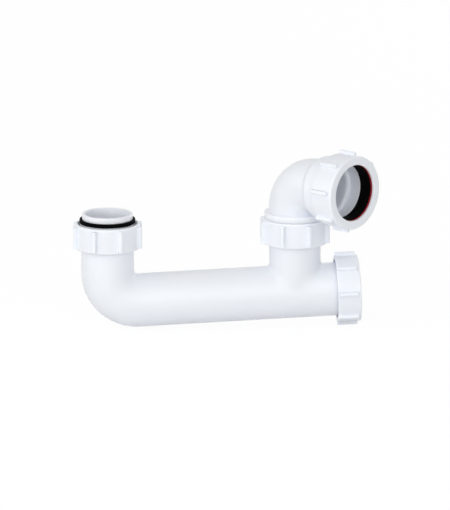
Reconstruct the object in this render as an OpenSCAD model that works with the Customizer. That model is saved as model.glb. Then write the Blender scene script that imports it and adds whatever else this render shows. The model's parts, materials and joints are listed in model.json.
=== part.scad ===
// Swivel waste trap for a bath: inlet leg, long pipe, tee, swivel outlet elbow and cleaning eye.
// Millimetres. The origin lies on the inlet axis at the sealing face, Z points up towards the waste
// and X runs from the inlet towards the cleaning eye.

/* [Waterway] */
// Inside radius of every pipe
bore_r = 18.4; // [17.4:0.1:18.8]
// Wall of the inlet spigot and of the riser's top
spigot_wall = 2.25; // [2:0.05:2.5]
// Wall of the bend and the long pipe
pipe_wall = 3.4; // [3.2:0.1:3.8]
// Wall of the riser
riser_wall = 2.6; // [2.6:0.05:3]
// Wall of the elbow
elbow_wall = 3.1; // [2.6:0.1:3.6]

/* [Layout] */
// Distance from the inlet axis to the riser axis
riser_x = 153.3; // [140:0.1:240]
// Depth of the pipe axis below the sealing face, measured on the inlet axis
pipe_depth = 69.9; // [67:0.1:90]
// Rise of the pipe towards the cleaning eye, in degrees
pipe_slope = 2.5; // [1:0.1:3.5]
// Radius of the bend under the inlet, on its inner side
bend_inside = 2; // [1:0.1:4]
// Height of the outlet axis above the inlet's sealing face
outlet_h = 29.3; // [29.3:0.1:45]
// Direction of the outlet about the riser, in degrees from the pipe
outlet_turn = -46.5; // [-180:0.5:180]

/* [Union joints] */
// Height of the spigot above the washer
spigot_h = 4.45; // [3.5:0.05:6]
// Thickness of the union washers
washer_t = 3.25; // [2.5:0.05:4]
// Width of the union washers
washer_w = 2.1; // [1.8:0.05:2.5]
// Width of the collar that carries a washer
collar_w = 1.65; // [1.4:0.05:1.9]
// Thickness of the collar that carries a washer
collar_t = 3; // [2:0.1:4]
// Step from the spigot in to the washer's seat
seat_step = 0.3; // [0.2:0.05:0.5]
// Height of the riser's sealing face
riser_seal_z = -12.75; // [-14:0.05:-11]
// Height of the ledge under the inlet nut
ledge_z = -24.5; // [-26:0.1:-24]
// Width of that ledge under the nut's lip
ledge_w = 0.3; // [0.2:0.05:0.5]

/* [Union nuts] */
// Height of a union nut
nut_h = 20.9; // [18:0.1:20.9]
// Wall of a union nut outside its thread
nut_wall = 1.2; // [1:0.1:2]
// Thickness of the lip at the bottom of a union nut
nut_lip_t = 3; // [2:0.1:4]
// Number of ribs on each nut and on the cap
rib_count = 8; // [6:1:10]
// Width of a rib
rib_w = 3; // [2:0.1:4]
// Height of a rib above a union nut
rib_h = 3.8; // [2.5:0.1:4.5]
// Distance of a rib's ends from the ends of a union nut
rib_margin = 1.6; // [1.5:0.1:3]
// Turn of the inlet nut, in degrees
inlet_nut_turn = 20.6; // [0:0.1:45]
// Turn of the elbow nut, in degrees
elbow_nut_turn = 19.9; // [0:0.1:45]

/* [Union thread] */
// Wall of the elbow's tail under its thread
tail_wall = 1.47; // [1.2:0.01:1.6]
// Depth of a male thread
thread_depth = 1.48; // [1:0.02:1.48]
// Thread pitch
thread_pitch = 2.309; // [2:0.001:2.4]
// Depth of the grooves in a nut
groove_depth = 1; // [0.6:0.05:1.05]

/* [Elbow] */
// Radius of the elbow's bend on its inner side
elbow_bend_inside = 1.3; // [1:0.1:2]
// Width of the collar above the elbow nut, beyond the elbow
elbow_collar_w = 3.7; // [3.3:0.1:4.5]
// Height of the collar above the elbow nut
elbow_collar_h = 5.05; // [4:0.05:7]
// Rounding of the collar's top edge
elbow_collar_round = 1; // [0.5:0.1:2]
// Rounding of the corner between the collar's top and the elbow
elbow_collar_fillet = 1.5; // [0.5:0.1:1.7]

/* [Outlet] */
// Inside radius of the socket that takes the waste pipe
socket_r = 21.75; // [21.6:0.01:21.8]
// Distance of the outlet nut's face from the riser axis
outlet_len = 65.3; // [64:0.1:75]
// Depth of the pipe stop behind the outlet nut's face
socket_depth = 24.3; // [24:0.1:27]
// Length of the outlet nut
outlet_nut_len = 21.7; // [20.5:0.1:22]
// Wall of the outlet nut outside its thread
outlet_nut_wall = 1.8; // [1.5:0.1:2.5]
// Step out to the rim at the outlet nut's face
outlet_rim_step = 0.5; // [0.3:0.1:1]
// Length of that rim
outlet_rim_t = 2.6; // [2:0.1:5]
// Height of a rib above the outlet nut
outlet_rib_h = 3.2; // [2:0.1:3.5]
// Distance from the outlet nut's back end to its ribs
outlet_rib_start = 2; // [1.5:0.1:4]
// Distance of a rib's front end from the outlet nut's face
outlet_rib_stop = 3.3; // [2.5:0.1:10]
// Step from the seal out to the outlet nut's mouth
mouth_step = 1; // [0.8:0.05:1.4]
// Thickness of the lip round the outlet nut's mouth
mouth_lip_t = 2; // [1.5:0.1:2.5]
// Thickness of the slip ring
slip_ring_t = 1.5; // [1:0.1:2]
// Step from the seal out to the inside of the slip ring
slip_ring_step = 0.8; // [0.3:0.05:1]
// Thickness of the seal's head in front of the socket
seal_head_t = 2; // [1.5:0.1:2.5]
// Length of the seal's tapered skirt inside the socket
seal_skirt_len = 8.5; // [7:0.1:12]
// Step from the socket out to the inside of the seal
seal_step = 0.25; // [0.2:0.05:0.4]
// Step from the socket out to the seal's seat at the skirt's tip
seat_tip_step = 1.2; // [1:0.05:1.4]
// Step from the socket out to the seal's seat at the socket's mouth
seat_mouth_step = 2.2; // [2:0.05:2.4]
// Wall of the outlet between the seal's seat and the thread
outlet_wall = 1.07; // [0.9:0.01:1.2]
// Length of the flare on the outlet arm
flare_len = 5; // [4:0.1:8]
// Length of the wide neck between the flare and the outlet nut
neck_len = 11.4; // [8:0.1:12]
// Step from the root of the outlet's thread out to the neck
neck_step = 0.75; // [0.3:0.05:1.2]
// Rounding of the pipe stop
stop_rounding = 2.4; // [1:0.1:2.5]
// Turn of the outlet nut, in degrees
outlet_nut_turn = 7; // [0:0.1:45]

/* [Cleaning eye] */
// Distance of the cap's end from the riser axis, along the pipe
cap_end = 52.9; // [52:0.1:60]
// Length of the cap
cap_len = 19.2; // [17:0.1:20]
// Wall of the cap outside its thread
cap_side_wall = 1.9; // [1.4:0.1:2.5]
// Height of a rib above the cap
cap_rib_h = 3.2; // [2.5:0.1:4]
// Thickness of the cap's end wall
cap_wall_t = 2.3; // [2:0.1:3]
// Thickness of the washer inside the cap
cap_washer_t = 2.8; // [2:0.1:3]
// Plain length of the spout inside the cap's open end
spout_lead = 2; // [1:0.1:3]
// Distance of a rib's end from the cap's end
cap_rib_stop = 2.4; // [2:0.1:4]
// Turn of the cap, in degrees
cap_turn = 41.8; // [0:0.1:45]

/* [Clearances] */
// Radial gap between pieces that turn or slide on each other
slip = 0.3; // [0.25:0.05:0.4]
// Axial gap between the elbow nut and the elbow's collar
nut_gap = 0.3; // [0.3:0.05:1]

/* [Hidden] */

// Circle resolution of the preview
$fn = 96;
// Overshoot of a cut past the face it opens
over = 1;
// Rounding of small moulded edges
edge = 0.5;
// Rounding of moulded edges that stay crisp
crisp = 0.05;
// Rounding of the outer edges of the nuts and the cap
nut_edge = 1.2;
// Rounding along a rib's tip
rib_round = 0.9;
// Rounding at a rib's ends
rib_end_round = 1.4;
// Shares of the pitch at which a thread's flanks start and end
flank_up = 0.3;
flank_top = 0.5;
flank_down = 0.8;
// Plain length before a thread's first ridge and after its last one
thread_lead = 0.8;
// Step in radius where the long pipe takes in the end of the bend
bend_step = 0.05;
// Turn of the bend inside the long pipe, in degrees
bend_tuck = 0.1;

white = [0.95, 0.955, 0.965];
rubber = [0.03, 0.03, 0.035];
red = [0.78, 0.05, 0.07];

// Rounds a length to a micrometre
function to_micron(length) = round(length * 1000) / 1000;

// Pipes
spigot_r = bore_r + spigot_wall;
pipe_r = bore_r + pipe_wall;
riser_r = bore_r + riser_wall;
elbow_r = bore_r + elbow_wall;
bend_r = pipe_r + bend_inside;
elbow_bend_r = elbow_r + elbow_bend_inside;

// Union joint, measured from a sealing face
seat_r = spigot_r - seat_step;
washer_r = spigot_r + washer_w;
collar_r = spigot_r + collar_w;
collar_bottom = -washer_t - collar_t;
lip_bore_r = spigot_r + slip;
ledge_r = lip_bore_r + ledge_w;
spigot_pocket_r = spigot_r + slip;
spigot_pocket_h = spigot_h + slip;
thread_root_r = spigot_pocket_r + tail_wall;
thread_r = thread_root_r + thread_depth;
female_r = thread_r + slip;
groove_r = female_r + groove_depth;
nut_r = groove_r + nut_wall;

// Riser and elbow
pipe_turn = 90 + pipe_slope;
bend_reach = bend_r * tan(pipe_turn / 2);
bend_top_z = to_micron(bend_reach - pipe_depth);
riser_pipe_z = to_micron(riser_x * tan(pipe_slope) - pipe_depth);
elbow_nut_z = riser_seal_z + collar_bottom - nut_lip_t;
elbow_nut_top = elbow_nut_z + nut_h;
elbow_collar_bottom = elbow_nut_top + nut_gap;
elbow_collar_z = elbow_collar_bottom + elbow_collar_h;
elbow_collar_r = elbow_r + elbow_collar_w;
elbow_spring_z = outlet_h - elbow_bend_r;

// Pipe run: the riser axis measured along the pipe from the bend's end, then the spout from the riser axis
pipe_to_riser = to_micron(riser_x / cos(pipe_slope) - bend_reach);
spout_end = cap_end - cap_wall_t - cap_washer_t;
cap_start = cap_end - cap_len;
spout_thread_start = cap_start + spout_lead;
cap_r = groove_r + cap_side_wall;

// Outlet, measured along the outlet axis from the riser axis
nut_back = outlet_len - outlet_nut_len;
slip_ring_front = outlet_len - mouth_lip_t;
seal_front = slip_ring_front - slip_ring_t;
socket_mouth = seal_front - seal_head_t;
seal_tip = socket_mouth - seal_skirt_len;
pipe_stop = outlet_len - socket_depth;
seal_r = socket_r + seal_step;
seat_tip_r = socket_r + seat_tip_step;
seat_mouth_r = socket_r + seat_mouth_step;
mouth_r = seal_r + mouth_step;
outlet_root_r = seat_mouth_r + outlet_wall;
outlet_thread_r = outlet_root_r + thread_depth;
outlet_female_r = outlet_thread_r + slip;
outlet_groove_r = outlet_female_r + groove_depth;
outlet_nut_r = outlet_groove_r + outlet_nut_wall;
outlet_rim_r = outlet_nut_r + outlet_rim_step;
neck_r = outlet_root_r + neck_step;
neck_start = nut_back - neck_len;
flare_start = neck_start - flare_len;
stop_round = min(stop_rounding, socket_r - bore_r);

// Ridges of a male thread between two heights, as points of a half section
function ridges(z0, z1, root, crest) =
  let (turns = floor((z1 - z0) / thread_pitch))
  [for (i = [0 : turns - 1])
    let (z = z0 + i * thread_pitch)
    each [
      [root, z],
      [crest, z + flank_up * thread_pitch],
      [crest, z + flank_top * thread_pitch],
      [root, z + flank_down * thread_pitch]
    ]
  ];

// Half section of a ring with its two outer corners rounded
module rounded_ring(r0, r1, z0, z1, low_round, high_round) {
  translate([r0, z0])
    square([r1 - r0 - max(low_round, high_round), z1 - z0]);
  translate([r0, z0 + low_round])
    square([r1 - r0, z1 - z0 - low_round - high_round]);
  translate([r1 - low_round, z0 + low_round])
    circle(low_round);
  translate([r1 - high_round, z1 - high_round])
    circle(high_round);
  if (low_round < high_round)
    translate([r0, z0])
      square([r1 - r0 - low_round, high_round]);
}

// Tube bend about the Y axis, from straight down towards +X
module bend(r, centre_r, turn) {
  rotate([90, 0, 0])
    rotate([0, 0, 180])
      rotate_extrude(angle = turn)
        translate([centre_r, 0])
          circle(r);
}

// Ribs round the Z axis between two heights
module ribs(r0, r1, z0, z1, turn) {
  intersection() {
    for (i = [0 : rib_count - 1])
      rotate([0, 0, turn + i * 360 / rib_count])
        translate([0, 0, z0])
          linear_extrude(z1 - z0)
            rib_section(r0 - over, r1);
    rotate_extrude()
      rounded_ring(r0 - 2 * over, r1, z0, z1, rib_end_round, rib_end_round);
  }
}

// Cross section of one rib, with a rounded tip
module rib_section(r0, r1) {
  translate([r0, -rib_w / 2])
    square([r1 - rib_round - r0, rib_w]);
  translate([r0, -rib_w / 2 + rib_round])
    square([r1 - r0, rib_w - 2 * rib_round]);
  for (s = [-1, 1])
    translate([r1 - rib_round, s * (rib_w / 2 - rib_round)])
      circle(rib_round);
}

// Half section of a threaded cavity between two heights
module threaded_cavity(z0, z1, bore, groove) {
  polygon(concat(
    [[0, z0], [bore, z0]],
    ridges(z0 + thread_lead, z1 - thread_lead, bore, groove),
    [[bore, z1], [0, z1]]
  ));
}

// Upright pipe end with a spigot, a washer seat and a collar, from its sealing face downwards
module union_end(foot_z) {
  rotate_extrude() {
    rounded_ring(bore_r - over, spigot_r, 0, spigot_h, crisp, edge);
    translate([0, -washer_t])
      square([seat_r, washer_t]);
    rounded_ring(0, collar_r, collar_bottom, -washer_t, edge, crisp);
    translate([0, foot_z])
      square([spigot_r, collar_bottom - foot_z]);
  }
}

// Union nut that stands on its lip
module union_nut(turn) {
  rotate_extrude()
    difference() {
      rounded_ring(lip_bore_r, nut_r, 0, nut_h, nut_edge, nut_edge);
      threaded_cavity(nut_lip_t, nut_h + over, female_r, groove_r);
    }
  ribs(nut_r, nut_r + rib_h, rib_margin, nut_h - rib_margin, turn);
}

// Flat rubber washer that ends at its own zero height
module union_washer() {
  color(rubber)
    rotate_extrude()
      translate([spigot_r, -washer_t])
        square([washer_w, washer_t]);
}

// Places a piece modelled about Z on the pipe axis, with its zero at the riser axis
module on_pipe_axis() {
  translate([bend_r, 0, bend_top_z])
    rotate([90, 0, 0])
      rotate([0, 0, pipe_turn - 180])
        translate([bend_r, 0, 0])
          rotate([-90, 0, 0])
            translate([0, 0, pipe_to_riser])
              children();
}

// Places a piece modelled about Z on the outlet axis
module on_outlet_axis() {
  translate([riser_x, 0, outlet_h])
    rotate([0, 0, outlet_turn])
      rotate([0, 90, 0])
        children();
}

module trap_body() {
  color(white)
    difference() {
      union() {
        union_end(ledge_z);
        translate([0, 0, bend_top_z])
          cylinder(h = ledge_z - bend_top_z, r1 = pipe_r - bend_step, r2 = ledge_r);
        translate([bend_r, 0, bend_top_z])
          bend(pipe_r - bend_step, bend_r, pipe_turn + bend_tuck);
        on_pipe_axis() {
          translate([0, 0, -pipe_to_riser])
            cylinder(h = spout_thread_start + pipe_to_riser, r = pipe_r);
          rotate_extrude()
            polygon(concat(
              [[0, spout_thread_start], [thread_root_r, spout_thread_start]],
              ridges(spout_thread_start + thread_lead, spout_end - edge, thread_root_r, thread_r),
              [[thread_root_r, spout_end], [0, spout_end]]
            ));
        }
        translate([riser_x, 0, riser_pipe_z])
          cylinder(h = elbow_nut_z - slip - riser_pipe_z, r = riser_r);
        translate([riser_x, 0, riser_seal_z])
          union_end(elbow_nut_z - slip - riser_seal_z);
      }
      translate([0, 0, bend_top_z])
        cylinder(h = spigot_h + over - bend_top_z, r = bore_r);
      translate([bend_r, 0, bend_top_z])
        bend(bore_r - bend_step, bend_r, pipe_turn + bend_tuck);
      on_pipe_axis()
        translate([0, 0, -pipe_to_riser])
          cylinder(h = spout_end + over + pipe_to_riser, r = bore_r);
      translate([riser_x, 0, riser_pipe_z])
        cylinder(h = riser_seal_z + spigot_h + over - riser_pipe_z, r = bore_r);
    }
}

module inlet_washer() {
  union_washer();
}

module inlet_nut() {
  color(white)
    translate([0, 0, ledge_z])
      union_nut(inlet_nut_turn);
}

module elbow_washer() {
  translate([riser_x, 0, riser_seal_z])
    union_washer();
}

module elbow_nut() {
  color(white)
    translate([riser_x, 0, elbow_nut_z])
      union_nut(elbow_nut_turn);
}

// Upright tail of the elbow, with its thread and its collar
module elbow_tail() {
  rotate_extrude() {
    polygon(concat(
      [[0, riser_seal_z], [thread_root_r, riser_seal_z]],
      ridges(riser_seal_z + edge, elbow_collar_bottom - thread_lead, thread_root_r, thread_r),
      [[thread_root_r, elbow_collar_bottom], [0, elbow_collar_bottom]]
    ));
    rounded_ring(0, elbow_collar_r, elbow_collar_bottom, elbow_collar_z, crisp, elbow_collar_round);
    difference() {
      translate([0, elbow_collar_z - over])
        square([elbow_r + elbow_collar_fillet, over + elbow_collar_fillet]);
      translate([elbow_r + elbow_collar_fillet, elbow_collar_z + elbow_collar_fillet])
        circle(elbow_collar_fillet);
    }
  }
  translate([0, 0, elbow_collar_bottom])
    cylinder(h = elbow_spring_z - elbow_collar_bottom, r = elbow_r);
}

// Outlet arm of the elbow, along its own axis
module elbow_arm() {
  translate([0, 0, elbow_bend_r])
    cylinder(h = flare_start - elbow_bend_r, r = elbow_r);
  translate([0, 0, flare_start])
    cylinder(h = flare_len, r1 = elbow_r, r2 = neck_r);
  translate([0, 0, neck_start])
    cylinder(h = neck_len, r = neck_r);
  rotate_extrude()
    polygon(concat(
      [[0, nut_back], [outlet_root_r, nut_back]],
      ridges(nut_back + thread_lead, socket_mouth - edge, outlet_root_r, outlet_thread_r),
      [[outlet_root_r, socket_mouth], [0, socket_mouth]]
    ));
}

// Cavity of the outlet arm: bore, pipe stop, socket and the tapered seat of the seal
module arm_cavity() {
  translate([0, 0, elbow_bend_r])
    cylinder(h = pipe_stop - elbow_bend_r + over, r = bore_r);
  rotate_extrude()
    difference() {
      translate([0, pipe_stop - stop_round])
        square([bore_r + stop_round, stop_round + over]);
      translate([bore_r + stop_round, pipe_stop - stop_round])
        circle(stop_round);
    }
  translate([0, 0, pipe_stop])
    cylinder(h = seal_tip - pipe_stop + over, r = socket_r);
  translate([0, 0, seal_tip])
    cylinder(h = seal_skirt_len, r1 = seat_tip_r, r2 = seat_mouth_r);
  translate([0, 0, socket_mouth])
    cylinder(h = over, r = seat_mouth_r);
}

module outlet_elbow() {
  color(white)
    difference() {
      union() {
        translate([riser_x, 0, 0])
          elbow_tail();
        translate([riser_x, 0, elbow_spring_z])
          rotate([0, 0, outlet_turn])
            translate([elbow_bend_r, 0, 0])
              mirror([0, 0, 1])
                bend(elbow_r, elbow_bend_r, 90);
        on_outlet_axis()
          elbow_arm();
      }
      translate([riser_x, 0, riser_seal_z - over])
        cylinder(h = spigot_pocket_h + over, r = spigot_pocket_r);
      translate([riser_x, 0, riser_seal_z])
        cylinder(h = elbow_spring_z - riser_seal_z, r = bore_r);
      translate([riser_x, 0, elbow_spring_z])
        rotate([0, 0, outlet_turn])
          translate([elbow_bend_r, 0, 0])
            mirror([0, 0, 1])
              bend(bore_r, elbow_bend_r, 90);
      on_outlet_axis()
        arm_cavity();
    }
}

// Tapered rubber seal with a flat head in front of the socket
module outlet_seal() {
  color(rubber)
    on_outlet_axis()
      rotate_extrude()
        polygon([
          [seal_r, seal_tip],
          [seat_tip_r - slip, seal_tip],
          [seat_mouth_r - slip, socket_mouth],
          [outlet_root_r, socket_mouth],
          [outlet_root_r, seal_front],
          [seal_r, seal_front]
        ]);
}

module outlet_slip_ring() {
  color(red)
    on_outlet_axis()
      rotate_extrude()
        translate([seal_r + slip_ring_step, seal_front])
          square([outlet_thread_r - seal_r - slip_ring_step, slip_ring_t]);
}

module outlet_nut() {
  color(white)
    on_outlet_axis() {
      rotate_extrude()
        difference() {
          union() {
            rounded_ring(mouth_r, outlet_nut_r, nut_back, outlet_len - nut_edge, nut_edge, edge);
            rounded_ring(mouth_r, outlet_rim_r, outlet_len - outlet_rim_t, outlet_len, edge, nut_edge);
          }
          threaded_cavity(nut_back - over, slip_ring_front, outlet_female_r, outlet_groove_r);
        }
      ribs(
        outlet_nut_r,
        outlet_nut_r + outlet_rib_h,
        nut_back + outlet_rib_start,
        outlet_len - outlet_rib_stop,
        180 - outlet_nut_turn
      );
    }
}

module cleaning_eye_washer() {
  color(rubber)
    on_pipe_axis()
      rotate_extrude()
        translate([bore_r + slip, spout_end])
          square([thread_r - slip - bore_r - slip, cap_washer_t]);
}

module cleaning_eye_cap() {
  color(white)
    on_pipe_axis() {
      rotate_extrude()
        difference() {
          rounded_ring(0, cap_r, cap_start, cap_end, edge, nut_edge);
          threaded_cavity(cap_start - over, cap_end - cap_wall_t, female_r, groove_r);
        }
      ribs(cap_r, cap_r + cap_rib_h, cap_start, cap_end - cap_rib_stop, cap_turn);
    }
}

trap_body();
inlet_washer();
inlet_nut();
elbow_washer();
elbow_nut();
outlet_elbow();
outlet_seal();
outlet_slip_ring();
outlet_nut();
cleaning_eye_washer();
cleaning_eye_cap();
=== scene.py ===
"""Looks of a swivel waste trap: moulded white plastic pipes and nuts, black rubber and a red slip ring."""
import json
import math

import bmesh
import bpy
import numpy as np
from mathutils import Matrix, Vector


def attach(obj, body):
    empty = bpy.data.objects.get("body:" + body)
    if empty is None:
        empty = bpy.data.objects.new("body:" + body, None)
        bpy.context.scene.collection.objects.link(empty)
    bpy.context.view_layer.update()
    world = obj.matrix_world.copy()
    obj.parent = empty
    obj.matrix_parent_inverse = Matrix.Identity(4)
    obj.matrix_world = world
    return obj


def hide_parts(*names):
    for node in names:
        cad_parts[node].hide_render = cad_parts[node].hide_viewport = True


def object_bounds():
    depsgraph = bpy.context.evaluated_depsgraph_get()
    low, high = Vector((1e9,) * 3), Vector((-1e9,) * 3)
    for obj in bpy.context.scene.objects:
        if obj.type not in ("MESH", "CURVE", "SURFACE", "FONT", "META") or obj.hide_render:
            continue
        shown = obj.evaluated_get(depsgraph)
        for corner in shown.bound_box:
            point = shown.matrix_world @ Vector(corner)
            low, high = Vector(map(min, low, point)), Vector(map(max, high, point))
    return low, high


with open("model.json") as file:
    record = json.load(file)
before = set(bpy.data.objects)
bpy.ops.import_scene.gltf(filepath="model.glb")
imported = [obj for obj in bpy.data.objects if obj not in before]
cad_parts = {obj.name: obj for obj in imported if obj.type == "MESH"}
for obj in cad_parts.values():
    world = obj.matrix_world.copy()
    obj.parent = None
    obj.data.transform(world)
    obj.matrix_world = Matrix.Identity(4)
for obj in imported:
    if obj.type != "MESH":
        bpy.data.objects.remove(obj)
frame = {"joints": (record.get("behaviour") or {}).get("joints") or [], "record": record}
cad_box = [list(corner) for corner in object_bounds()]
scene = bpy.context.scene
scene.view_settings.view_transform = "Standard"

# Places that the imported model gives, in millimetres
MM = 0.001
UP = np.array([0.0, 0.0, 1.0])
RIGHT = np.array([1.0, 0.0, 0.0])
mounts = {mount["name"]: mount for mount in frame["record"]["mounts"]}
joints = {joint["name"]: joint for joint in frame["joints"]}
cap_joint = joints["cleaning_cap_turn"]
PIPE_AXIS = np.array(cap_joint["axis"], float)
CAP_POINT = np.array(cap_joint["pos_m"], float) / MM
RISER_X = joints["elbow_swivel"]["pos_m"][0] / MM
RISER_SEAL_Z = joints["elbow_swivel"]["pos_m"][2] / MM
OUTLET_AXIS = np.array(mounts["outlet_socket"]["axis"], float)
OUTLET_H = mounts["outlet_socket"]["pos_m"][2] / MM
SOCKET_R = mounts["outlet_socket"]["dims"]["r_mm"]
SPIGOT_R = mounts["inlet_spigot"]["dims"]["r_mm"]

# Radii in millimetres
BORE_R = 18.4
PIPE_R = 21.8
RISER_R = 21.0
ELBOW_R = 21.5
BEND_R = 23.8
ELBOW_BEND_R = 22.8
SEAT_R = 20.35
POCKET_R = 20.95
LEDGE_R = 21.25
COLLAR_R = 22.3
WASHER_R = 22.75
CAP_WASHER_R = 23.6
ROOT_R = 22.42
FEMALE_R = 24.2
NUT_R = 26.4
CAP_R = 27.1
ELBOW_COLLAR_R = 25.2
SEAL_R = 22.0
SEAT_TIP_R = 22.95
SEAT_MOUTH_R = 23.95
MOUTH_R = 23.0
RING_R = 22.8
OUTLET_ROOT_R = 25.02
NECK_R = 25.77
RING_OUTER_R = 26.5
OUTLET_FEMALE_R = 26.8
OUTLET_NUT_R = 29.6
OUTLET_RIM_R = 30.1

# Heights of the upright parts, in millimetres above the inlet's sealing face
SPIGOT_H = 4.45
WASHER_T = 3.25
COLLAR_FOOT = -6.25
LEDGE_Z = -24.5
NUT_H = 20.9
NUT_LIP = 3.0
ELBOW_NUT_Z = -22.0
ELBOW_COLLAR_Z = (-1.0, 4.25)
POCKET_H = 4.75
RISER_PLAIN_H = 6.0

# Distances from the riser's axis along the pipe and along the outlet, in millimetres
CAP_START = 33.7
CAP_END = 52.9
CAP_WALL = 2.3
SPOUT_THREAD = 35.7
SPOUT_END = 47.8
FLARE_START = 27.2
NECK_START = 32.2
NUT_BACK = 43.6
PIPE_STOP = 41.0
SEAL_TIP = 51.3
SOCKET_MOUTH = 59.8
SEAL_FRONT = 61.8
RING_FRONT = 63.3
OUTLET_FACE = 65.3
OUTLET_RIM = 2.6
RIM_SLOPE = 0.3
SPOUT_SLOPE = 0.2

# Threads, in millimetres, with the tooth's width and flank as shares of the pitch
PITCH = 2.309
THREAD_DEPTH = 1.48
GROOVE_DEPTH = 1.0
TOOTH_WIDTH = 0.8
TOOTH_FLANK = 0.3

# Ribs, in millimetres, and the turn of each ribbed piece, in degrees
RIB_COUNT = 8
RIB_HALF = 1.5
RIB_TIP_ROUND = 0.9
RIB_ROOT_ROUND = 0.6
RIB_END_ROUND = 0.9
RIB_END_RAMP = 0.15
UNION_RIB_RISE = 3.8
UNION_RIB_MARGIN = 1.6
OUTLET_RIB_RISE = 3.2
OUTLET_RIB_START = 2.0
OUTLET_RIB_STOP = 3.3
CAP_RIB_RISE = 3.2
CAP_RIB_STOP = 2.4
INLET_NUT_TURN = 20.6
ELBOW_NUT_TURN = 19.9
OUTLET_NUT_TURN = -7.0
CAP_TURN = 41.8

# Roundings and fillets, in millimetres
CRISP = 0.2
SOFT = 0.3
EDGE = 0.5
NUT_EDGE = 1.2
RUBBER_EDGE = 0.25
COLLAR_ROUND = 1.0
COLLAR_FILLET = 1.5
FLARE_ROUND = 5.0
NECK_ROUND = 4.0
STOP_ROUND = 2.4
TEE_FILLET = 3.0
TEE_FRONT_FILLET = 30.0
TEE_FRONT_POWER = 6

# Clearances and overlaps, in millimetres
SLACK = 0.3
SEAT_GAP = 0.05
HOLE_PLAY = 0.05
HOLE_REACH = 5.0
TEE_OVERLAP = 0.03
TEE_SINK = 0.8
WELD = 0.02

# Fineness of the meshes: steps in millimetres or radians, and points on a curve or round a ring
LONG = 9.0
STRAIGHT_STEP = 4.0
BEND_STEP = 1.2
FLARE_STEP = 1.0
THREAD_STEP = PITCH / 10
ROUND_STEP = math.radians(18)
SHARP_ANGLE = math.radians(38)
TIP_POINTS = 5
ROOT_POINTS = 4
PLAIN_POINTS = 6
FILLET_POINTS = 9
HOLE_COLUMNS = 96
BODY_COLUMNS = 112
FINE_COLUMNS = 128


def unit(vector):
    """The vector divided by its length."""
    return vector / np.linalg.norm(vector)


def corner(height, radius, rounding=0.0, step=LONG):
    """A section's corner, its rounding, and the longest part that the side after it is cut into."""
    return np.array([height, radius]), rounding, step


def corner_arc(before, here, after, rounding):
    """Arc of the rounding's radius that touches both sides of a corner, or a sharp corner's own point."""
    if rounding == 0:
        return here[None]
    back = unit(before - here)
    on = unit(after - here)
    opening = math.acos(np.clip(back @ on, -1, 1))
    turn = math.pi - opening
    centre = here + unit(back + on) * rounding / math.sin(opening / 2)
    setback = rounding / math.tan(opening / 2)
    first = here + back * setback - centre
    last = here + on * setback - centre
    share = np.linspace(0, 1, max(2, math.ceil(turn / ROUND_STEP)) + 1)[:, None]
    return centre + (np.sin((1 - share) * turn) * first + np.sin(share * turn) * last) / math.sin(turn)


def section(corners, closed=True):
    """Heights and radii of an outline: its corners become arcs, and its sides are cut into equal parts.

    A closed outline runs up the outside, in over the top and down the inside, so that faces look outwards."""
    points = [point for point, _, _ in corners]
    count = len(corners)
    arcs = [
        corner_arc(points[i - 1], points[i], points[(i + 1) % count], corners[i][1])
        for i in range(count)
    ]
    rows = []
    for i in range(count if closed else count - 1):
        side_start = arcs[i][-1]
        side_end = arcs[(i + 1) % count][0]
        parts = max(1, math.ceil(np.linalg.norm(side_end - side_start) / corners[i][2]))
        rows.append(arcs[i][:-1])
        rows.append(np.linspace(side_start, side_end, parts, endpoint=False))
    if not closed:
        rows.append(arcs[-1])
    outline = np.concatenate(rows)
    return outline[:, 0], outline[:, 1]


def thread(heights, angles, start, end):
    """Share of a right-hand thread's depth: a flat-topped tooth that climbs a pitch each turn.

    The tooth runs out over half a pitch at both ends."""
    phase = (heights[:, None] - start) / PITCH - angles / (2 * math.pi)
    phase = phase - np.floor(phase)
    tooth = np.clip(np.minimum(phase, TOOTH_WIDTH - phase) / TOOTH_FLANK, 0, 1)
    run_out = np.clip(np.minimum(heights - start, end - heights) / (PITCH / 2), 0, 1)
    return tooth * run_out[:, None]


def threaded(heights, radii, angles, root, depth, start, end):
    """Radii by row and column: rows at the root between two heights get a thread of that depth."""
    at_root = np.isclose(radii, root) & (heights > start) & (heights < end)
    return radii[:, None] + depth * at_root[:, None] * thread(heights, angles, start, end)


def even_angles(count):
    """Angles round a full turn in equal steps."""
    return np.arange(count) * 2 * math.pi / count


def place(origin, along, towards):
    """A local frame: origin, axis, the part of towards square to the axis, and their cross product."""
    axis = unit(along)
    out = unit(towards - (towards @ axis) * axis)
    return origin, axis, out, np.cross(axis, out)


def turned(where, heights, radii, angles):
    """Grid of a turned shape: each point lies at its height on the axis and its radius out at its angle."""
    origin, axis, out, side = where
    if radii.ndim == 1:
        radii = np.repeat(radii[:, None], len(angles), axis=1)
    spokes = np.cos(angles)[:, None] * out + np.sin(angles)[:, None] * side
    return origin + heights[:, None, None] * axis + radii[:, :, None] * spokes


def bend_path(corner_point, first, second, bend_r):
    """A straight, an arc and a straight.

    Gives the arc's start, first direction, direction to its centre, side, radius and turn."""
    turn = math.acos(first @ second)
    reach = bend_r * math.tan(turn / 2)
    side = unit(np.cross(first, second))
    return corner_point - reach * first, first, np.cross(side, first), side, bend_r, turn


def bent(path, distances, radii, angles):
    """Grid of a bent tube: each row is a ring square to the path at its distance from the arc's start."""
    start, first, inward, side, bend_r, turn = path
    on_arc = np.clip(distances, 0, bend_r * turn)
    turned_by = (on_arc / bend_r)[:, None]
    along = np.cos(turned_by) * first + np.sin(turned_by) * inward
    out = np.cos(turned_by) * inward - np.sin(turned_by) * first
    line = start + bend_r * (inward - out) + (distances - on_arc)[:, None] * along
    spokes = np.cos(angles)[:, None] * out[:, None] + np.sin(angles)[:, None] * side
    return line[:, None] + radii[:, :, None] * spokes


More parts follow.
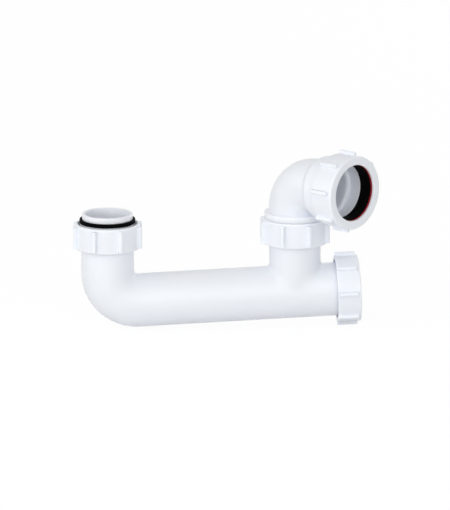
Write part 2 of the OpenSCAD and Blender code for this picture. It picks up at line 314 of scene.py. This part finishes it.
def rib_columns(base_r, rise, phase):
    """Angles round a ribbed shape and how far each stands out from the base.

    Half of one rib is a flat tip, a rounded edge, a flank and a root fillet. It is drawn across the rib's
    middle line, turned to angle and radius, mirrored and repeated."""
    tip_r = base_r + rise
    quarter = np.linspace(0, math.pi / 2, TIP_POINTS)
    edge_x = tip_r - RIB_TIP_ROUND + RIB_TIP_ROUND * np.cos(quarter)
    edge_y = RIB_HALF - RIB_TIP_ROUND + RIB_TIP_ROUND * np.sin(quarter)
    root_y = RIB_HALF + RIB_ROOT_ROUND
    root_x = math.sqrt((base_r + RIB_ROOT_ROUND) ** 2 - root_y ** 2)
    lean = math.pi / 2 - math.asin(root_y / (base_r + RIB_ROOT_ROUND))
    swing = np.linspace(0, lean, ROOT_POINTS)
    fillet_x = root_x - RIB_ROOT_ROUND * np.sin(swing)
    fillet_y = root_y - RIB_ROOT_ROUND * np.cos(swing)
    drawn_x = np.concatenate([edge_x, fillet_x])
    drawn_y = np.concatenate([edge_y, fillet_y])
    half_pitch = math.pi / RIB_COUNT
    drawn = np.arctan2(drawn_y, drawn_x)
    plain = np.linspace(drawn[-1], half_pitch, PLAIN_POINTS)[1:]
    angles = np.concatenate([drawn, plain])
    lifts = np.concatenate([np.hypot(drawn_x, drawn_y) - base_r, np.zeros(len(plain))])
    lifts[len(drawn) - 1] = 0
    angles = np.concatenate([-angles[-2::-1], [0.0], angles])
    lifts = np.concatenate([lifts[-2::-1], [rise], lifts])
    repeats = np.arange(RIB_COUNT) * 2 * half_pitch + phase
    return (repeats[:, None] + angles).ravel(), np.tile(lifts, RIB_COUNT)


def rib_ends(heights, rise, start, end):
    """Share of a rib's rise at each height: a short ramp at both ends, then a quarter circle to the top."""
    inside = np.minimum(heights - start, end - heights)
    on_round = np.clip(1 - inside / RIB_END_ROUND, 0, 1)
    shape = 1 - RIB_END_ROUND / rise * (1 - np.sqrt(1 - on_round ** 2))
    return np.clip(inside / RIB_END_RAMP, 0, 1) * shape


def rib_rows(radius, start, end):
    """Corners on a ribbed side, close together where the rib's ends curve."""
    curve = RIB_END_ROUND * (1 - np.cos(np.linspace(0, math.pi / 2, TIP_POINTS)))
    steps = np.concatenate([[0, RIB_END_RAMP], curve[2:]])
    return [corner(h, radius) for h in start + steps], [corner(h, radius) for h in end - steps[::-1]]


def ribbed(where, heights, radii, outside, base_r, rise, span, phase, groove):
    """Grid of a ribbed and threaded shape.

    The outside rows stand out by their column's lift times their own share of the rib's rise. groove gives
    the thread's radius, start and end on the inside."""
    angles, lifts = rib_columns(base_r, rise, phase)
    share = rib_ends(heights, rise, *span) * outside
    level = (base_r - radii)[:, None] * np.clip(lifts / EDGE, 0, 1)
    grid = threaded(heights, radii, angles, groove[0], GROOVE_DEPTH, groove[1], groove[2])
    return turned(where, heights, grid + share[:, None] * (lifts + level), angles)


def mesh_from_grid(name, grid, ring=True, poles=False):
    """Mesh of a grid whose columns close round; ring closes its rows too, and poles merges its end rows."""
    body = grid[1:-1] if poles else grid
    rows, columns = body.shape[:2]
    index = np.arange(rows * columns).reshape(rows, columns)
    lower = index if ring else index[:-1]
    upper = np.roll(index, -1, axis=0) if ring else index[1:]
    quads = np.stack([lower, np.roll(lower, -1, axis=1), np.roll(upper, -1, axis=1), upper], axis=-1)
    faces = quads.reshape(-1, 4).tolist()
    points = body.reshape(-1, 3)
    if poles:
        first = np.full(columns, rows * columns)
        start_fan = np.stack([first, np.roll(index[0], -1), index[0]], axis=-1)
        end_fan = np.stack([index[-1], np.roll(index[-1], -1), first + 1], axis=-1)
        faces += start_fan.tolist() + end_fan.tolist()
        points = np.concatenate([points, grid[:1, 0], grid[-1:, 0]])
    mesh = bpy.data.meshes.new(name)
    mesh.from_pydata((points * MM).tolist(), [], faces)
    mesh.update()
    return mesh


def add_object(name, mesh):
    """An object for a mesh, at the origin."""
    made = bpy.data.objects.new(name, mesh)
    scene.collection.objects.link(made)
    return made


def combine(piece, operation, other):
    """Cut the other closed surface out of a piece, or join it on, and remove the other.

    Points closer than the weld distance are merged, so that no sliver is left along the cut."""
    step = piece.modifiers.new(other.name, "BOOLEAN")
    step.operation = operation
    step.solver = "EXACT"
    step.object = other
    result = piece.evaluated_get(bpy.context.evaluated_depsgraph_get())
    piece.data = bpy.data.meshes.new_from_object(result)
    piece.modifiers.clear()
    bpy.data.objects.remove(other)
    surface = bmesh.new()
    surface.from_mesh(piece.data)
    bmesh.ops.remove_doubles(surface, verts=surface.verts, dist=WELD * MM)
    bmesh.ops.dissolve_degenerate(surface, edges=surface.edges, dist=WELD * MM)
    surface.to_mesh(piece.data)
    surface.free()


def dress(piece, node, body, material):
    """Smooth shading with crisp edges, a material, and the CAD node and body that the piece stands for."""
    mesh = piece.data
    mesh.shade_smooth()
    mesh.set_sharp_from_angle(angle=SHARP_ANGLE)
    mesh.materials.clear()
    mesh.materials.append(material)
    even = piece.modifiers.new("even_normals", "WEIGHTED_NORMAL")
    even.keep_sharp = True
    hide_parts(node)
    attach(piece, body)


class Field:
    """A socket of a node tree. Arithmetic on it adds Math nodes, and node adds any other kind."""

    def __init__(self, tree, socket=None):
        self.tree = tree
        self.socket = socket

    def node(self, kind, settings=None, inputs=None, output=0):
        """Adds a node: its settings first, then each socket's value or link; gives the chosen output."""
        made = self.tree.nodes.new("ShaderNode" + kind)
        for name, value in (settings or {}).items():
            setattr(made, name, value)
        for name, value in (inputs or {}).items():
            if isinstance(value, Field):
                self.tree.links.new(value.socket, made.inputs[name])
            else:
                made.inputs[name].default_value = value
        return Field(self.tree, made.outputs[output] if len(made.outputs) else None)

    def math(self, operation, first, second=0.0):
        """A Math node on two values."""
        return self.node("Math", {"operation": operation}, {0: first, 1: second})

    def __add__(self, other):
        return self.math("ADD", self, other)

    def __radd__(self, other):
        return self.math("ADD", other, self)

    def __sub__(self, other):
        return self.math("SUBTRACT", self, other)

    def __rsub__(self, other):
        return self.math("SUBTRACT", other, self)

    def __mul__(self, other):
        return self.math("MULTIPLY", self, other)

    def __rmul__(self, other):
        return self.math("MULTIPLY", other, self)

    def __truediv__(self, other):
        return self.math("DIVIDE", self, other)


def new_material(name):
    """An empty material, as the start of its node tree."""
    made = bpy.data.materials.new(name)
    made.use_nodes = True
    made.node_tree.nodes.clear()
    return made, Field(made.node_tree)


def noise(tree, position, size_mm, detail, seed):
    """Noise from 0 to 1 with features of about that size, shifted by a seed."""
    shifted = tree.node("VectorMath", {"operation": "ADD"}, {0: position, 1: (seed, 2 * seed, 3 * seed)})
    return tree.node("TexNoise", None, {"Vector": shifted, "Scale": 1 / (size_mm * MM), "Detail": detail})


def blend(tree, share, first, second):
    """A colour between two: a Mix node's colours are its sockets 6 and 7, and its third output."""
    return tree.node("Mix", {"data_type": "RGBA"}, {0: share, 6: first, 7: second}, output=2)


def white_plastic(name, shade, parting, depth, seed):
    """Moulded white plastic: faint cloudy tint, uneven gloss, fine grain, slight sinking and a parting line.

    parting is a plane's unit normal and its distance from the origin in millimetres, or None. Light sinks in
    to about depth, in millimetres."""
    cloud_shade = 0.975
    grain_height = 0.012
    sink_height = 0.03
    line_height = 0.05
    line_half = 0.15
    made, tree = new_material(name)
    position = tree.node("TexCoord", output="Object")
    cloud = noise(tree, position, size_mm=21, detail=3, seed=seed)
    patch = noise(tree, position, size_mm=5, detail=4, seed=seed + 1)
    grain = noise(tree, position, size_mm=0.45, detail=2, seed=seed + 2)
    deeper = tuple(cloud_shade * value for value in shade)
    colour = blend(tree, cloud, (*deeper, 1), (*shade, 1))
    relief = grain_height * grain + sink_height * patch
    if parting:
        normal, distance = parting
        ends = {0: position, 1: tuple(normal)}
        across = tree.node("VectorMath", {"operation": "DOT_PRODUCT"}, ends, output=1)
        off_line = tree.math("ABSOLUTE", across - distance * MM) / (line_half * MM)
        relief = relief + line_height * tree.math("MAXIMUM", 1 - off_line, 0.0)
    bump = tree.node("Bump", None, {"Height": relief, "Strength": 1.0, "Distance": MM})
    surface = tree.node("BsdfPrincipled", None, {
        "Base Color": colour,
        "Roughness": 0.3 + 0.1 * patch,
        "Normal": bump,
        "IOR": 1.49,
        "Subsurface Weight": 0.75,
        "Subsurface Radius": (1.0, 1.0, 1.0),
        "Subsurface Scale": depth * MM,
    })
    tree.node("OutputMaterial", None, {"Surface": surface})
    return made


def rubber(name, seed):
    """Matt black rubber: a dusty bloom in patches over a fine moulded grain."""
    made, tree = new_material(name)
    position = tree.node("TexCoord", output="Object")
    bloom = noise(tree, position, size_mm=6, detail=4, seed=seed)
    grain = noise(tree, position, size_mm=0.3, detail=2, seed=seed + 1)
    black = (0.001, 0.001, 0.0011, 1)
    dusty = (0.003, 0.003, 0.0032, 1)
    colour = blend(tree, bloom, black, dusty)
    bump = tree.node("Bump", None, {"Height": grain, "Strength": 0.6, "Distance": 0.03 * MM})
    surface = tree.node("BsdfPrincipled", None, {
        "Base Color": colour,
        "Roughness": 0.55 + 0.2 * bloom,
        "Specular IOR Level": 0.02,
        "Normal": bump,
    })
    tree.node("OutputMaterial", None, {"Surface": surface})
    return made


def red_plastic(name, seed):
    """Hard red plastic with an uneven gloss and a slightly uneven surface."""
    made, tree = new_material(name)
    position = tree.node("TexCoord", output="Object")
    patch = noise(tree, position, size_mm=4, detail=3, seed=seed)
    deep = (0.28, 0.005, 0.01, 1)
    bright = (0.4, 0.01, 0.015, 1)
    colour = blend(tree, patch, deep, bright)
    bump = tree.node("Bump", None, {"Height": patch, "Strength": 0.5, "Distance": 0.05 * MM})
    surface = tree.node("BsdfPrincipled", None, {
        "Base Color": colour,
        "Roughness": 0.3 + 0.15 * patch,
        "Normal": bump,
    })
    tree.node("OutputMaterial", None, {"Surface": surface})
    return made


WHITE = (0.87, 0.9, 0.985)
PIPE_DEPTH = 4.0
NUT_DEPTH = 1.0
body_parting = (np.cross(UP, RIGHT), 0.0)
elbow_side = np.cross(UP, OUTLET_AXIS)
elbow_parting = (elbow_side, elbow_side[0] * RISER_X)
body_white = white_plastic("body_white", WHITE, body_parting, PIPE_DEPTH, seed=0.31)
elbow_white = white_plastic("elbow_white", WHITE, elbow_parting, PIPE_DEPTH, seed=0.57)
nut_white = white_plastic("nut_white", WHITE, None, NUT_DEPTH, seed=0.83)
black_rubber = rubber("black_rubber_matt", seed=0.11)
ring_red = red_plastic("ring_red", seed=0.23)

# Trap body: spout, long pipe, bend and inlet leg in one sweep
pipe_corner = CAP_POINT - PIPE_AXIS * CAP_POINT[0] / PIPE_AXIS[0]
body_path = bend_path(pipe_corner, -PIPE_AXIS, UP, BEND_R)
body_turn = body_path[-1]
body_arc = BEND_R * body_turn
body_reach = BEND_R * math.tan(body_turn / 2)
riser_run = RISER_X / PIPE_AXIS[0] - body_reach
riser_foot = pipe_corner + PIPE_AXIS * RISER_X / PIPE_AXIS[0]


def on_pipe(distance):
    """Path distance of a place on the pipe, measured from the riser's axis towards the cleaning eye."""
    return -(riser_run + distance)


def on_leg(height):
    """Path distance of a height on the inlet leg."""
    return body_arc + height - (pipe_corner[2] + body_reach)


body_rows, body_radii = section([
    corner(on_pipe(SPOUT_END), BORE_R, SOFT),
    corner(on_pipe(SPOUT_END), ROOT_R, SOFT, THREAD_STEP),
    corner(on_pipe(SPOUT_THREAD), ROOT_R),
    corner(on_pipe(SPOUT_THREAD) + SPOUT_SLOPE, PIPE_R),
    corner(0, PIPE_R, 0, BEND_STEP),
    corner(body_arc, PIPE_R, 0, STRAIGHT_STEP),
    corner(on_leg(LEDGE_Z), LEDGE_R, SOFT),
    corner(on_leg(LEDGE_Z), SPIGOT_R),
    corner(on_leg(COLLAR_FOOT), SPIGOT_R),
    corner(on_leg(COLLAR_FOOT), COLLAR_R, EDGE),
    corner(on_leg(-WASHER_T), COLLAR_R, CRISP),
    corner(on_leg(-WASHER_T), SEAT_R),
    corner(on_leg(0), SEAT_R),
    corner(on_leg(0), SPIGOT_R, CRISP),
    corner(on_leg(SPIGOT_H), SPIGOT_R, EDGE),
    corner(on_leg(SPIGOT_H), BORE_R, SOFT, STRAIGHT_STEP),
    corner(body_arc, BORE_R, 0, BEND_STEP),
    corner(0, BORE_R),
])
body_angles = even_angles(BODY_COLUMNS)
body_grid = threaded(
    body_rows, body_radii, body_angles, ROOT_R, THREAD_DEPTH, on_pipe(SPOUT_END), on_pipe(SPOUT_THREAD)
)
body_mesh = mesh_from_grid("body", bent(body_path, body_rows, body_grid, body_angles))
body = add_object("body", body_mesh)

# Hole of the riser through the pipe's top wall
hole_rows, hole_radii = section([
    corner(0, 0),
    corner(0, BORE_R + HOLE_PLAY),
    corner(PIPE_R + HOLE_REACH, BORE_R + HOLE_PLAY),
    corner(PIPE_R + HOLE_REACH, 0),
], closed=False)
riser_axis = place(riser_foot, UP, RIGHT)
hole_grid = turned(riser_axis, hole_rows, hole_radii, even_angles(HOLE_COLUMNS))
hole = add_object("riser_hole", mesh_from_grid("riser_hole", hole_grid, ring=False, poles=True))


def tee_rows(angles):
    """Rows of the riser's foot: a ball rolls in the corner between riser and pipe.

    Its radius grows from the sides to the front and back, where the two walls meet at a flat angle. Its
    centre is where both walls, moved out by the radius, meet; the fillet is the arc between its two contacts.
    The first row is sunk into the pipe's wall."""
    wall = PIPE_R - TEE_OVERLAP
    ball = TEE_FILLET + (TEE_FRONT_FILLET - TEE_FILLET) * np.sin(angles) ** TEE_FRONT_POWER
    spokes = np.stack([np.cos(angles), np.sin(angles), np.zeros_like(angles)], axis=-1)
    centre = (RISER_R + ball)[:, None] * spokes
    above = np.sqrt((wall + ball) ** 2 - centre[:, 1] ** 2)
    centre[:, 2] = (above + PIPE_AXIS[2] * centre[:, 0]) / PIPE_AXIS[0]
    foot = (centre @ PIPE_AXIS)[:, None] * PIPE_AXIS
    from_pipe = (centre - foot) / (wall + ball)[:, None]
    swing = np.arccos(np.clip(np.sum(from_pipe * spokes, axis=-1), -1, 1))[:, None]
    share = np.linspace(0, 1, FILLET_POINTS)[:, None, None]
    mixed = (np.sin((1 - share) * swing) * from_pipe + np.sin(share * swing) * spokes) / np.sin(swing)
    arc = centre - ball[:, None] * mixed
    sunk = arc[0] - TEE_SINK * from_pipe
    return riser_foot + np.concatenate([sunk[None], arc])


def tee_bore(angles):
    """Row of the riser's bore halfway through the pipe's wall."""
    row = BORE_R * np.stack([np.cos(angles), np.sin(angles), np.zeros_like(angles)], axis=-1)
    above = np.sqrt(((BORE_R + PIPE_R) / 2) ** 2 - row[:, 1] ** 2)
    row[:, 2] = (above + PIPE_AXIS[2] * row[:, 0]) / PIPE_AXIS[0]
    return riser_foot + row[None]


# Riser of the trap body, with the seat of the elbow's washer
riser_seal = RISER_SEAL_Z - riser_foot[2]
riser_top = ELBOW_NUT_Z - SLACK - riser_foot[2]
riser_rows, riser_radii = section([
    corner(riser_top - RISER_PLAIN_H, RISER_R),
    corner(riser_top, RISER_R, CRISP),
    corner(riser_top, SPIGOT_R),
    corner(riser_seal + COLLAR_FOOT, SPIGOT_R),
    corner(riser_seal + COLLAR_FOOT, COLLAR_R, EDGE),
    corner(riser_seal - WASHER_T, COLLAR_R, CRISP),
    corner(riser_seal - WASHER_T, SEAT_R),
    corner(riser_seal, SEAT_R),
    corner(riser_seal, SPIGOT_R, CRISP),
    corner(riser_seal + SPIGOT_H, SPIGOT_R, EDGE),
    corner(riser_seal + SPIGOT_H, BORE_R, SOFT),
    corner(riser_top - RISER_PLAIN_H, BORE_R),
], closed=False)
riser_angles = even_angles(FINE_COLUMNS)
riser_grid = np.concatenate([
    tee_rows(riser_angles),
    turned(riser_axis, riser_rows, riser_radii, riser_angles),
    tee_bore(riser_angles),
])
riser = add_object("riser", mesh_from_grid("riser", riser_grid))
combine(body, "DIFFERENCE", hole)
combine(body, "UNION", riser)
dress(body, "trap_body", "trap_body", body_white)

# Swivel elbow: tail with its thread, collar, bend, flare and socket in one sweep
elbow_corner = np.array([RISER_X, 0.0, OUTLET_H])
elbow_path = bend_path(elbow_corner, UP, OUTLET_AXIS, ELBOW_BEND_R)
elbow_arc = ELBOW_BEND_R * elbow_path[-1]


def on_tail(height):
    """Path distance of a height on the elbow's tail."""
    return height - OUTLET_H + ELBOW_BEND_R


def on_arm(distance):
    """Path distance of a place on the outlet arm, measured from the riser's axis."""
    return elbow_arc + distance - ELBOW_BEND_R


collar_low, collar_high = ELBOW_COLLAR_Z
tail_foot = on_tail(RISER_SEAL_Z)
elbow_rows, elbow_radii = section([
    corner(tail_foot, POCKET_R, CRISP),
    corner(tail_foot, ROOT_R, SOFT, THREAD_STEP),
    corner(on_tail(collar_low), ROOT_R),
    corner(on_tail(collar_low), ELBOW_COLLAR_R, CRISP),
    corner(on_tail(collar_high), ELBOW_COLLAR_R, COLLAR_ROUND),
    corner(on_tail(collar_high), ELBOW_R, COLLAR_FILLET, BEND_STEP),
    corner(elbow_arc, ELBOW_R, 0, STRAIGHT_STEP),
    corner(on_arm(FLARE_START), ELBOW_R, FLARE_ROUND, FLARE_STEP),
    corner(on_arm(NECK_START), NECK_R, NECK_ROUND, STRAIGHT_STEP),
    corner(on_arm(NUT_BACK), NECK_R, CRISP),
    corner(on_arm(NUT_BACK), OUTLET_ROOT_R, 0, THREAD_STEP),
    corner(on_arm(SOCKET_MOUTH), OUTLET_ROOT_R, SOFT),
    corner(on_arm(SOCKET_MOUTH), SEAT_MOUTH_R, CRISP),
    corner(on_arm(SEAL_TIP), SEAT_TIP_R),
    corner(on_arm(SEAL_TIP), SOCKET_R, CRISP),
    corner(on_arm(PIPE_STOP), SOCKET_R, CRISP),
    corner(on_arm(PIPE_STOP), BORE_R, STOP_ROUND),
    corner(elbow_arc, BORE_R, 0, BEND_STEP),
    corner(0, BORE_R),
    corner(tail_foot + POCKET_H, BORE_R, SOFT),
    corner(tail_foot + POCKET_H, POCKET_R),
])
elbow_angles = even_angles(FINE_COLUMNS)
tail_thread = threaded(
    elbow_rows, elbow_radii, elbow_angles, ROOT_R, THREAD_DEPTH, tail_foot, on_tail(collar_low)
)
arm_start = on_arm(NUT_BACK)
arm_end = on_arm(SOCKET_MOUTH)
arm_thread = threaded(elbow_rows, elbow_radii, elbow_angles, OUTLET_ROOT_R, THREAD_DEPTH, arm_start, arm_end)
elbow_grid = bent(elbow_path, elbow_rows, tail_thread + arm_thread - elbow_radii[:, None], elbow_angles)
elbow = add_object("elbow", mesh_from_grid("elbow", elbow_grid))
dress(elbow, "outlet_elbow", "outlet_elbow", elbow_white)


def union_nut(name, node, foot, turn):
    """Union nut that stands on its lip: ribbed outside, threaded inside down to the lip."""
    span = (UNION_RIB_MARGIN, NUT_H - UNION_RIB_MARGIN)
    low_ribs, high_ribs = rib_rows(NUT_R, *span)
    heights, radii = section([
        corner(0, POCKET_R, SOFT),
        corner(0, NUT_R, NUT_EDGE),
        *low_ribs,
        *high_ribs,
        corner(NUT_H, NUT_R, NUT_EDGE),
        corner(NUT_H, FEMALE_R, SOFT, THREAD_STEP),
        corner(NUT_LIP, FEMALE_R),
        corner(NUT_LIP, POCKET_R, SOFT),
    ])
    where = place(foot, UP, RIGHT)
    groove = (FEMALE_R, NUT_LIP, NUT_H)
    outside = radii > FEMALE_R + EDGE
    phase = math.radians(turn)
    grid = ribbed(where, heights, radii, outside, NUT_R, UNION_RIB_RISE, span, phase, groove)
    dress(add_object(name, mesh_from_grid(name, grid)), node, node, nut_white)


union_nut("nut_inlet", "inlet_nut", np.array([0.0, 0.0, LEDGE_Z]), INLET_NUT_TURN)
union_nut("nut_elbow", "elbow_nut", np.array([RISER_X, 0.0, ELBOW_NUT_Z]), ELBOW_NUT_TURN)

# Compression nut of the outlet, with a rim and a lip round its mouth
outlet_place = place(elbow_corner, OUTLET_AXIS, UP)
outlet_span = (NUT_BACK + OUTLET_RIB_START, OUTLET_FACE - OUTLET_RIB_STOP)
outlet_low_ribs, outlet_high_ribs = rib_rows(OUTLET_NUT_R, *outlet_span)
outlet_rows, outlet_radii = section([
    corner(NUT_BACK, OUTLET_FEMALE_R, SOFT),
    corner(NUT_BACK, OUTLET_NUT_R, NUT_EDGE),
    *outlet_low_ribs,
    *outlet_high_ribs,
    corner(OUTLET_FACE - OUTLET_RIM, OUTLET_NUT_R),
    corner(OUTLET_FACE - OUTLET_RIM + RIM_SLOPE, OUTLET_RIM_R, SOFT),
    corner(OUTLET_FACE, OUTLET_RIM_R, NUT_EDGE),
    corner(OUTLET_FACE, MOUTH_R, EDGE),
    corner(RING_FRONT, MOUTH_R, CRISP),
    corner(RING_FRONT, OUTLET_FEMALE_R, 0, THREAD_STEP),
])
outlet_grid = ribbed(
    outlet_place,
    outlet_rows,
    outlet_radii,
    outlet_radii > OUTLET_FEMALE_R + EDGE,
    OUTLET_NUT_R,
    OUTLET_RIB_RISE,
    outlet_span,
    math.radians(OUTLET_NUT_TURN),
    (OUTLET_FEMALE_R, NUT_BACK, RING_FRONT),
)
outlet_nut = add_object("nut_outlet", mesh_from_grid("nut_outlet", outlet_grid))
dress(outlet_nut, "outlet_nut", "outlet_nut", nut_white)

# Screw cap of the cleaning eye, closed at its end
cap_place = place(riser_foot, PIPE_AXIS, UP)
cap_span = (CAP_START, CAP_END - CAP_RIB_STOP)
_, cap_high_ribs = rib_rows(CAP_R, *cap_span)
cap_rows, cap_radii = section([
    corner(CAP_END - CAP_WALL, 0),
    corner(CAP_END - CAP_WALL, FEMALE_R, 0, THREAD_STEP),
    corner(CAP_START, FEMALE_R, SOFT),
    corner(CAP_START, CAP_R, EDGE),
    *cap_high_ribs,
    corner(CAP_END, CAP_R, NUT_EDGE),
    corner(CAP_END, 0),
], closed=False)
cap_grid = ribbed(
    cap_place,
    cap_rows,
    cap_radii,
    cap_radii > FEMALE_R + EDGE,
    CAP_R,
    CAP_RIB_RISE,
    cap_span,
    math.radians(CAP_TURN),
    (FEMALE_R, CAP_START, CAP_END - CAP_WALL),
)
cap_mesh = mesh_from_grid("cap", cap_grid, ring=False, poles=True)
dress(add_object("cap", cap_mesh), "cleaning_eye_cap", "cleaning_eye_cap", nut_white)


def soft_ring(name, node, body, where, corners, material):
    """Ring turned from a small outline with rounded corners."""
    heights, radii = section(corners)
    grid = turned(where, heights, radii, even_angles(FINE_COLUMNS))
    dress(add_object(name, mesh_from_grid(name, grid)), node, body, material)


def flat_ring(low, high, inner, outer, rounding):
    """Corners of a flat ring with rounded edges."""
    return [
        corner(low, inner, rounding),
        corner(low, outer, rounding),
        corner(high, outer, rounding),
        corner(high, inner, rounding),
    ]


inlet_place = place(np.zeros(3), UP, RIGHT)
washer_outline = flat_ring(SEAT_GAP - WASHER_T, -SEAT_GAP, SPIGOT_R + SEAT_GAP, WASHER_R, RUBBER_EDGE)
seal_place = place(np.array([RISER_X, 0.0, RISER_SEAL_Z]), UP, RIGHT)
soft_ring("rubber_inlet", "inlet_washer", "trap_body", inlet_place, washer_outline, black_rubber)
soft_ring("rubber_elbow", "elbow_washer", "elbow_washer", seal_place, washer_outline, black_rubber)
cap_seal_outline = flat_ring(SPOUT_END, CAP_END - CAP_WALL, BORE_R + SLACK, CAP_WASHER_R, RUBBER_EDGE)
soft_ring(
    "rubber_cap", "cleaning_eye_washer", "cleaning_eye_washer", cap_place, cap_seal_outline, black_rubber
)
soft_ring("rubber_outlet", "outlet_seal", "outlet_elbow", outlet_place, [
    corner(SEAL_TIP, SEAL_R, CRISP),
    corner(SEAL_TIP, SEAT_TIP_R - SLACK, CRISP),
    corner(SOCKET_MOUTH, SEAT_MOUTH_R - SLACK),
    corner(SOCKET_MOUTH, OUTLET_ROOT_R, RUBBER_EDGE),
    corner(SEAL_FRONT, OUTLET_ROOT_R, RUBBER_EDGE),
    corner(SEAL_FRONT, SEAL_R, RUBBER_EDGE),
], black_rubber)
ring_outline = flat_ring(SEAL_FRONT, RING_FRONT, RING_R, RING_OUTER_R, CRISP)
soft_ring("ring_slip", "outlet_slip_ring", "outlet_slip_ring", outlet_place, ring_outline, ring_red)

# Camera at the photograph's viewing angle, in degrees, metres and, for the lens, millimetres
TARGET = Vector((0.096, 0, -0.03205))
CAMERA_AZIMUTH = -3.4
CAMERA_ELEVATION = 13.7
CAMERA_DISTANCE = 4.0
LENS_MM = 345.4
SENSOR_MM = 36
SIGHT = 20.0


def seen_from(azimuth, elevation):
    """Unit vector towards a viewer: azimuth turns to the right of the front, elevation rises."""
    turn = math.radians(azimuth)
    rise = math.radians(elevation)
    return Vector((math.sin(turn) * math.cos(rise), -math.cos(turn) * math.cos(rise), math.sin(rise)))


def aim(thing, azimuth, elevation, distance):
    """Puts a camera or lamp at a distance from the target, looking at it."""
    direction = seen_from(azimuth, elevation)
    thing.location = TARGET + distance * direction
    thing.rotation_euler = (-direction).to_track_quat("-Z", "Y").to_euler()


lens = bpy.data.cameras.new("camera")
lens.sensor_fit = "VERTICAL"
lens.sensor_height = SENSOR_MM
lens.lens = LENS_MM
lens.clip_end = SIGHT
camera = add_object("camera", lens)
aim(camera, CAMERA_AZIMUTH, CAMERA_ELEVATION, CAMERA_DISTANCE)
scene.camera = camera

# Lamps, in metres
LAMP_SIZE = 2.2
LAMP_DISTANCE = 2.0


def soft_lamp(name, azimuth, elevation, power):
    """Large round studio lamp that looks at the object; power is in watts."""
    light = bpy.data.lights.new(name, "AREA")
    light.shape = "DISK"
    light.size = LAMP_SIZE
    light.energy = power
    aim(add_object(name, light), azimuth, elevation, LAMP_DISTANCE)


soft_lamp("lamp_front", azimuth=1, elevation=16, power=18)
soft_lamp("lamp_left", azimuth=-58, elevation=16, power=15)
soft_lamp("lamp_back", azimuth=140, elevation=20, power=9)

# White surroundings: full white for the camera and in reflections, softer as a light
AROUND = 0.5
world = bpy.data.worlds.new("studio")
world.use_nodes = True
scene.world = world
world.node_tree.nodes.clear()
sky = Field(world.node_tree)
direct_ray = sky.node("LightPath", output="Is Camera Ray")
mirrored_ray = sky.node("LightPath", output="Is Glossy Ray")
seen = sky.math("MAXIMUM", direct_ray, mirrored_ray)
background = sky.node("Background", None, {"Color": (1, 1, 1, 1), "Strength": AROUND + (1 - AROUND) * seen})
sky.node("OutputWorld", None, {"Surface": background})

# Pale floor just under the part, which keeps a faint shadow
FLOOR_HALF = 4.0
FLOOR_GAP = 0.0002
PAPER = (0.9, 0.9, 0.9, 1)
GLOW = 1.022
GLOW_SEEN = 0.92
GLOW_MIRRORED = 0.85
floor_z = cad_box[0][2] - FLOOR_GAP
floor_corners = [
    (-FLOOR_HALF, -FLOOR_HALF, floor_z),
    (FLOOR_HALF, -FLOOR_HALF, floor_z),
    (FLOOR_HALF, FLOOR_HALF, floor_z),
    (-FLOOR_HALF, FLOOR_HALF, floor_z),
]
floor_mesh = bpy.data.meshes.new("floor")
floor_mesh.from_pydata(floor_corners, [], [(0, 1, 2, 3)])
floor = add_object("floor", floor_mesh)
floor_white, ground = new_material("floor_white")
paper = ground.node("BsdfDiffuse", None, {"Color": PAPER})
glow = ground.node("Emission", None, {"Color": (1, 1, 1, 1), "Strength": GLOW})
straight = ground.node("LightPath", output="Is Camera Ray")
mirrored = ground.node("LightPath", output="Is Glossy Ray")
glow_share = GLOW_SEEN * straight + GLOW_MIRRORED * mirrored
mixed_floor = ground.node("MixShader", None, {0: glow_share, 1: paper, 2: glow})
ground.node("OutputMaterial", None, {"Surface": mixed_floor})
floor_mesh.materials.append(floor_white)
